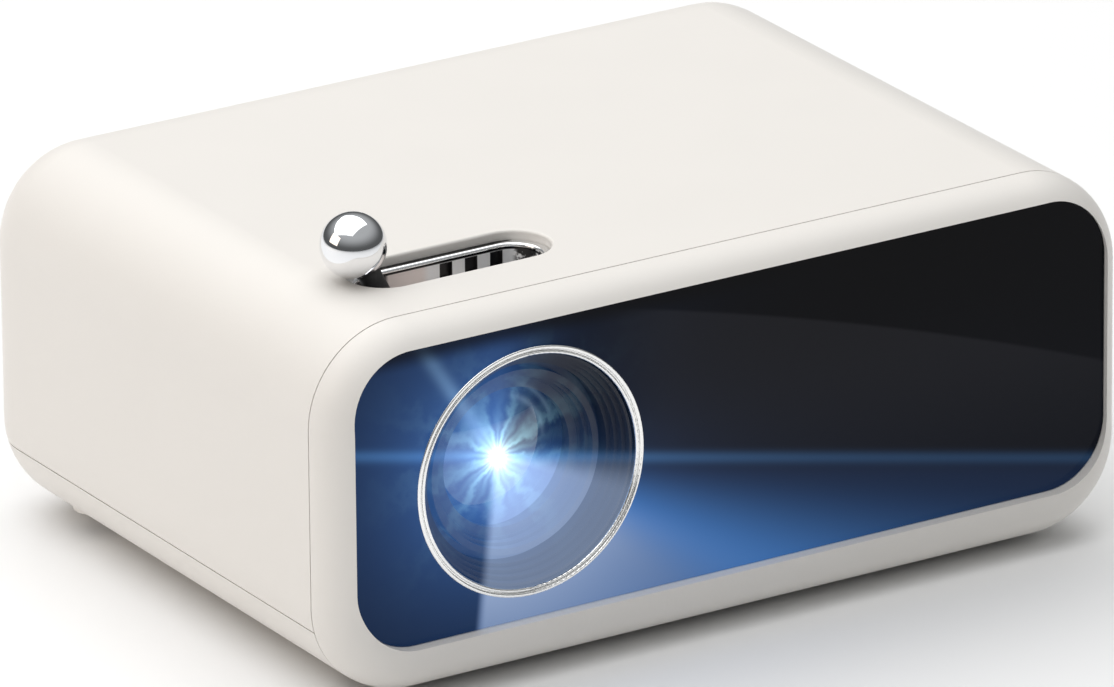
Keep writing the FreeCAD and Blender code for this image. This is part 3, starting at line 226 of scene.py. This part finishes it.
class Flare:
    """Distances, in millimetres, and directions about the glow, on the surface a Look covers."""

    def __init__(self, look):
        x, y, z = look.axes()
        depth = y - WINDOW_Y
        self.across = (x - depth * SLANT_X - GLOW_X) * METRES_TO_MM
        self.up = (z - depth * SLANT_Z - GLOW_Z) * METRES_TO_MM
        self.radius = (self.across * self.across + self.up * self.up).apply("SQRT")
        self.angle = self.up.apply("ARCTAN2", self.across)
        self.toward_dark = (self.across * DARK_X + self.up * DARK_Z) / (self.radius + 0.5)
        self.left_edge = (self.across - self.up * LEAN).over(-1.2, 1.0)
        self.grain = look.noise(3.0 * MM, 3.0)

    def spokes(self, count, wander):
        """Rays about the glow, from 0 between them to 1, whose spacing wanders with the grain."""
        return (self.angle * count + self.grain * wander).apply("SINE") * 0.5 + 0.5

    def glow(self):
        """The white core, its rays and the blue halo, which is weak toward the upper right."""
        open_side = self.toward_dark.over(0.98, 0.45)
        near_halo = self.radius.fade(11.0) * 0.75 * (open_side * 0.8 + 0.2)
        far_halo = self.radius.fade(90.0) * open_side * 0.036
        core = self.radius.bell(1.8) * 1.1
        bloom = self.radius.bell(4.2) * 0.36
        broad = self.spokes(9.0, 7.0)
        broad = broad * broad * broad * self.radius.fade(4.6) * 0.8
        rays = broad + self.spokes(23.0, 9.0) * self.radius.fade(3.2) * 0.6
        beside_ray = self.across * RAY_X + self.up * RAY_Z
        long_ray = beside_ray.bell(1.3) * self.up.over(0.0, 3.0) * self.radius.fade(16.0)
        return (
            (near_halo + far_halo).tint(BLUE) + core.tint(CREAM) + bloom.tint((0.68, 0.97, 1.0))
            + rays.tint(CYAN) + (long_ray * 0.5).tint((0.4, 0.7, 1.0)) + self.arcs() + self.streak())

    def arcs(self):
        """Two pale arcs that the lens throws to the upper right of the glow."""
        from_lens = self.radius - self.up * 0.18
        inner = (from_lens - 8.4).bell(0.45) * self.angle.over(0.1, 0.5) * self.angle.over(1.5, 1.0)
        outer = (from_lens - 10.2).bell(0.35) * self.angle.over(0.3, 0.7) * self.angle.over(1.4, 0.9)
        return (inner * 0.11 + outer * 0.08).tint((0.55, 0.8, 1.0))

    def streak(self):
        """A thin line of light right across the window."""
        strength = self.radius.fade(25.0) * 0.25 + 0.06
        return (self.above_streak().bell(1.0) * strength).tint((0.15, 0.45, 1.0))

    def above_streak(self):
        return self.across * STREAK_X + self.up * STREAK_Z

    def beam_in_well(self):
        """The beam opens down from the glow, between a nearly upright edge and a slanting one."""
        spread = self.angle.over(-0.16, -0.46) * self.left_edge
        return (spread * (self.radius.fade(6.0) * 0.6 + 1.0)).tint((0.25, 0.31, 0.42))

    def beam_on_window(self):
        """Outside the ring the beam is bluer, softer at its right edge, and fades away."""
        soft = self.angle.over(-0.24, -0.60) * self.left_edge
        deep = self.angle.over(-0.45, -0.75) * self.left_edge
        blue_part = soft * (deep * -0.4 + 1.0) * 0.38
        pale_part = deep * self.radius.fade(16.0) * 0.95
        under_streak = self.above_streak().over(2.0, -3.5) * self.across.over(-5.0, 30.0) * 0.034
        return (
            blue_part.tint((0.11, 0.38, 1.0)) + pale_part.tint((1.0, 1.0, 0.9)) + under_streak.tint(BLUE))


# ---- materials ---------------------------------------------------------------------------------


# The painted sheen on the window, a painted reflection, lies under a curve that falls away from its start
# toward +X.
PAINTED_SHEEN_START = -11.3 * MM
PAINTED_SHEEN_SLOPE = 0.25
PAINTED_SHEEN_CURVE = 0.0008
# Painted light: the glow is painted into the lens well down to about this far behind the window's face.
WELL_LIT, WELL_DARK = 11.5 * MM, 14.0 * MM
LINER_BORE = 9.0 * MM


def shell_plastic():
    """Warm white moulded plastic with a fine satin grain."""
    look = Look("satin_white_plastic", (0.83, 0.80, 0.76), 0.42, Specular_IOR_Level=0.42)
    look.shade(0.012, look.noise(0.035, 3.0))
    look.vary("Roughness", 0.38, 0.47, look.noise(0.012, 5.0))
    return look.bump(look.noise(0.0006, 2.0), 0.012 * MM).material


def window_gloss():
    """Polished black acrylic with the projected light painted in as glow, a faint painted reflection and
    painted shade along its upper edge.
    """
    look = Look("gloss_black_acrylic", (0.004, 0.004, 0.005), 0.035, Specular_IOR_Level=0.07)
    flare = Flare(look)
    x, _, z = look.axes()
    from_start = (x - PAINTED_SHEEN_START) * METRES_TO_MM
    fall = from_start * PAINTED_SHEEN_SLOPE + from_start * from_start * PAINTED_SHEEN_CURVE
    # Painted reflection: a faint grey glow below a curved line, right of its start and weaker toward the
    # bottom.
    painted_sheen = ((z - LENS_Z) * METRES_TO_MM + fall).over(21.8, 21.0) * from_start.over(-19.0, 1.0)
    # Painted shade: the glow dims toward the window's upper edge, under the bezel's lip.
    painted_edge_shade = (z - WINDOW_HIGH.z).over(-0.4 * MM, -3.6 * MM) * 0.8 + 0.2
    painted_sheen = painted_sheen * (z.over(12.0 * MM, 42.0 * MM) * 0.75 + 0.25)
    light = flare.glow() + flare.beam_on_window() + painted_sheen.tint((0.0075, 0.0075, 0.0088))
    look.feed("Emission Color", light * painted_edge_shade)
    look.shader.inputs["Emission Strength"].default_value = 1.0
    look.vary("Roughness", 0.025, 0.06, look.noise(0.02, 4.0))
    return look.material


def lit_black(name, roughness, share):
    """Matt black with a share of the projector's light painted on as glow near the front of the well."""
    look = Look(name, (0.012, 0.012, 0.014), roughness)
    look.shade(0.3, look.noise(0.004, 4.0))
    flare = Flare(look)
    _, y, _ = look.axes()
    # Painted light: the flare's glow and beam as emission, fading out deeper in the well.
    painted_glow_in_mouth = (y - WINDOW_Y).over(WELL_DARK, WELL_LIT)
    look.feed("Emission Color", (flare.glow() + flare.beam_in_well()) * painted_glow_in_mouth)
    look.shader.inputs["Emission Strength"].default_value = share
    return look.bump(look.noise(0.0004, 2.0), 0.01 * MM).material


def lens_glass():
    """The coated front lens, dark and mirror smooth, with the light behind it painted on as glow."""
    look = Look("coated_lens", (0.01, 0.02, 0.05), 0.02, Coat_Weight=1.0, Coat_Roughness=0.02)
    flare = Flare(look)
    # Painted light: the flare's glow and beam as emission on the lens.
    look.feed("Emission Color", flare.glow() + flare.beam_in_well())
    look.shader.inputs["Emission Strength"].default_value = 1.0
    look.vary("Roughness", 0.015, 0.04, look.noise(0.006, 3.0))
    return look.material


def chrome(name, color, roughness):
    """Bright plating, a little uneven."""
    look = Look(name, color, roughness, Metallic=1.0)
    look.shade(0.03, look.noise(0.003, 4.0))
    look.vary("Roughness", roughness * 0.6, roughness * 1.5, look.noise(0.0022, 5.0))
    return look.bump(look.noise(0.0035, 2.0), 0.002 * MM).material


def slot_liner():
    """Chrome round the lip; below it the wall between the notches is pale, with painted shade in the notches,
    under the lip, in the gap to the shell and at both ends of the slot.
    """
    low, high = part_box("slot_trim")
    rear_wall = (low.y + high.y) / 2 + LINER_BORE / 2
    look = Look("chromed_liner", (0.86, 0.87, 0.89), 0.06)
    x, y, z = look.axes()
    below_lip = z.over(high.z - 0.7 * MM, high.z - 0.8 * MM)
    # Painted shade: a dark line just under the lip, a dark band on the top face next to the shell where its
    # shadow falls, the notches in the rear wall painted dark, dark under the ball at the near end, and patchy
    # dark at the far end with pale painted highlights between.
    lip_shade_line = z.over(high.z - 0.5 * MM, high.z - 0.6 * MM) * z.over(high.z - 1.0 * MM, high.z - 0.9 * MM)
    gap_shade_line = y.over(rear_wall + 0.6 * MM, rear_wall + 0.7 * MM)
    notch_shade = y.over(rear_wall + 0.1 * MM, rear_wall + 0.2 * MM) * below_lip
    patchy_shade_noise = look.noise(1.1 * MM, 3.0)
    far_end_shade = x.over(-24.4 * MM, -23.4 * MM) * below_lip * patchy_shade_noise.over(0.42, 0.52)
    near_end_shade = x.over(-46.8 * MM, -47.6 * MM) * below_lip
    # All the painted shade together takes the base colour to near black.
    dark = (notch_shade + lip_shade_line + gap_shade_line + far_end_shade + near_end_shade).apply("MINIMUM", 1.0)
    pale = look.between((0.86, 0.87, 0.88), (0.84, 0.76, 0.73), x.over(-39.0 * MM, -41.0 * MM) * below_lip)
    look.feed("Base Color", look.between(pale, (0.012, 0.012, 0.013), dark))
    look.feed("Metallic", below_lip * -0.85 + 0.97)
    look.vary("Roughness", 0.05, 0.30, below_lip)
    return look.bump(look.noise(0.0035, 2.0), 0.002 * MM).material


def plain_plastic(name, color, roughness):
    look = Look(name, color, roughness)
    look.shade(0.12, look.noise(0.01, 4.0))
    look.vary("Roughness", roughness * 0.85, roughness * 1.15, look.noise(0.003, 4.0))
    return look.bump(look.cells(0.0005), 0.015 * MM).material


def rubber():
    look = Look("soft_rubber", (0.03, 0.03, 0.03), 0.8)
    look.shade(0.25, look.noise(0.002, 5.0))
    return look.bump(look.noise(0.0005, 3.0), 0.03 * MM).material


def brushed(name, color, roughness, stretch):
    """Metal with fine lines drawn along one axis."""
    look = Look(name, color, roughness, Metallic=1.0)
    lines = look.noise(0.0012, 5.0, stretch)
    look.shade(0.1, lines)
    look.vary("Roughness", roughness * 0.8, roughness * 1.25, lines)
    return look.bump(lines, 0.006 * MM).material


def glass(name, color, roughness=0.02):
    look = Look(name, color, roughness, Transmission_Weight=0.92, IOR=1.5)
    look.vary("Roughness", roughness * 0.6, roughness * 1.6, look.noise(0.005, 3.0))
    look.shade(0.03, look.noise(0.01, 3.0))
    return look.material


def circuit_board():
    """Green solder mask over faint copper tracks."""
    look = Look("solder_mask", (0.012, 0.085, 0.04), 0.35)
    tracks = look.cells(0.0045, "DISTANCE_TO_EDGE").over(0.10, 0.04)
    look.feed("Base Color", look.between((0.010, 0.07, 0.032), (0.03, 0.16, 0.075), tracks))
    return look.bump(tracks, 0.03 * MM).material


def coloured_wire():
    look = Look("wire_jacket", (0.35, 0.03, 0.02), 0.4)
    look.shade(0.15, look.noise(0.002, 4.0))
    return look.bump(look.noise(0.0007, 2.0), 0.01 * MM).material


def flex_film():
    look = Look("amber_film", (0.45, 0.20, 0.03), 0.25)
    x, _, _ = look.axes()
    tracks = (x * 6000.0).apply("SINE").over(-0.2, 0.3)
    look.feed("Base Color", look.between((0.30, 0.12, 0.02), (0.52, 0.24, 0.05), tracks))
    return look.material


# ---- dressing the carried-over parts -----------------------------------------------------------


def dress():
    black = plain_plastic("black_plastic", (0.022, 0.022, 0.024), 0.5)
    steel = brushed("plated_steel", (0.58, 0.58, 0.6), 0.3, (1, 1, 6))
    aluminium = brushed("extruded_aluminium", (0.66, 0.67, 0.69), 0.35, (6, 1, 6))
    brass = brushed("turned_brass", (0.68, 0.48, 0.2), 0.28, (1, 1, 8))
    clear = glass("clear_glass", (0.85, 0.92, 0.97))
    looks = {
        shell_plastic(): ["top_shell", "bottom_cover", "front_bezel", "power_button"],
        window_gloss(): ["front_panel"],
        lit_black("hood_black", 0.55, 0.55): ["lens_hood"],
        lit_black("barrel_black", 0.45, 0.8): ["lens_barrel", "front_lens_retainer", "lens_housing"],
        lens_glass(): ["front_lens"],
        chrome("polished_chrome", (0.86, 0.87, 0.89), 0.035): ["lever_ball"],
        chrome("satin_chrome", (0.97, 0.97, 0.96), 0.2): ["lens_ring"],
        slot_liner(): ["slot_trim"],
        plain_plastic("dark_grey_plastic", (0.085, 0.085, 0.088), 0.45): ["rear_panel"],
        plain_plastic("ivory_plastic", (0.62, 0.56, 0.52), 0.4): ["dust_shield"],
        black: ["focus_ring", "focus_lever", "rear_lens_retainer", "engine_base", "engine_cover",
                "fan_frame", "fan_rotor", "audio_jack", "dc_jack", "button_switch", "driver_parts", "speaker",
                "ir_receiver"],
        steel: ["focus_ring_clip", "hdmi_port", "usb_port", "case_screws", "flange_screws",
                "fan_screws"],
        brass: ["barrel_pins", "board_posts", "tripod_insert"],
        aluminium: ["light_funnel", "led_module", "heat_sink", "chip_heat_sink", "fold_mirror"],
        clear: ["middle_lens", "rear_lens", "heat_glass", "condenser_lens", "front_fresnel", "rear_fresnel"],
        glass("display_cell", (0.12, 0.14, 0.2), 0.1): ["lcd_panel"],
        circuit_board(): ["main_board", "driver_board"],
        rubber(): ["speaker_gasket", "rubber_feet"],
        coloured_wire(): ["fan_lead", "led_lead", "speaker_lead"],
        flex_film(): ["display_flex"],
    }
    for material, names in looks.items():
        for name in names:
            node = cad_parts[name]
            for slot in node.material_slots:
                slot.link = "OBJECT"
                slot.material = material
    dressed = {name for names in looks.values() for name in names}
    bare = set(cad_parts) - dressed
    if bare:
        raise RuntimeError(f"no material for {sorted(bare)}")


# ---- studio ------------------------------------------------------------------------------------


def studio_floor():
    """A wide pale sheet that the case stands on."""
    mesh = bpy.data.meshes.new("studio_floor")
    half = 6.0
    corners = [(-half, -half, 0), (half, -half, 0), (half, half, 0), (-half, half, 0)]
    mesh.from_pydata(corners, [], [(0, 1, 2, 3)])
    floor = bpy.data.objects.new("studio_floor", mesh)
    bpy.context.scene.collection.objects.link(floor)
    look = Look("studio_floor", (0.94, 0.94, 0.94), 0.6, Specular_IOR_Level=0.2)
    look.shade(0.01, look.noise(0.4, 2.0))
    mesh.materials.append(look.material)


def softbox(name, place, size, power, color=(1, 1, 1)):
    """A rectangular light in metres and watts that faces the case."""
    data = bpy.data.lights.new(name, "AREA")
    data.shape = "RECTANGLE"
    data.size, data.size_y = size
    data.energy = power
    data.color = color
    item = bpy.data.objects.new(name, data)
    item.location = place
    item.rotation_euler = (CASE_MIDDLE - Vector(place)).to_track_quat("-Z", "Y").to_euler()
    bpy.context.scene.collection.objects.link(item)


def studio_light():
    """A room that brightens overhead, with a big softbox above and a small warm one on the left."""
    world = bpy.data.worlds.new("studio")
    bpy.context.scene.world = world
    world.use_nodes = True
    tree = world.node_tree
    split = tree.nodes.new("ShaderNodeSeparateXYZ")
    tree.links.new(tree.nodes.new("ShaderNodeTexCoord").outputs["Generated"], split.inputs[0])
    height = Field(tree, split.outputs["Z"])
    background = tree.nodes["Background"]
    background.inputs["Color"].default_value = (0.97, 0.99, 1.0, 1.0)
    plug(tree, background.inputs["Strength"], height.over(0.1, 0.75) * 0.36 + 0.10)
    softbox("top_softbox", (-0.15, 0.30, 1.3), (2.2, 1.9), 22.0)
    softbox("left_softbox", (-1.7, 0.45, 0.8), (1.2, 0.9), 5.4, (1.0, 0.85, 0.72))


def camera():
    """The camera stands on the left of the front and looks down on the case through a long lens."""
    azimuth, elevation, roll = (math.radians(angle) for angle in (-31.755, 21.185, -0.508))
    distance = 2.2262
    aim = CASE_MIDDLE + Vector((0.79, 0.0, -1.82)) * MM
    back = Vector((math.sin(azimuth) * math.cos(elevation), -math.cos(azimuth) * math.cos(elevation),
                   math.sin(elevation)))
    data = bpy.data.cameras.new("camera")
    data.lens = 443.07
    data.sensor_width = 36.0
    data.clip_end = 50.0
    item = bpy.data.objects.new("camera", data)
    item.location = aim + back * distance
    turn = (-back).to_track_quat("-Z", "Y")
    item.rotation_euler = (turn @ Quaternion((0, 0, 1), roll)).to_euler()
    bpy.context.scene.collection.objects.link(item)
    bpy.context.scene.camera = item


# ---- the scene ---------------------------------------------------------------------------------

camera()
dress()
studio_floor()
studio_light()
bpy.context.scene.view_settings.view_transform = "Standard"
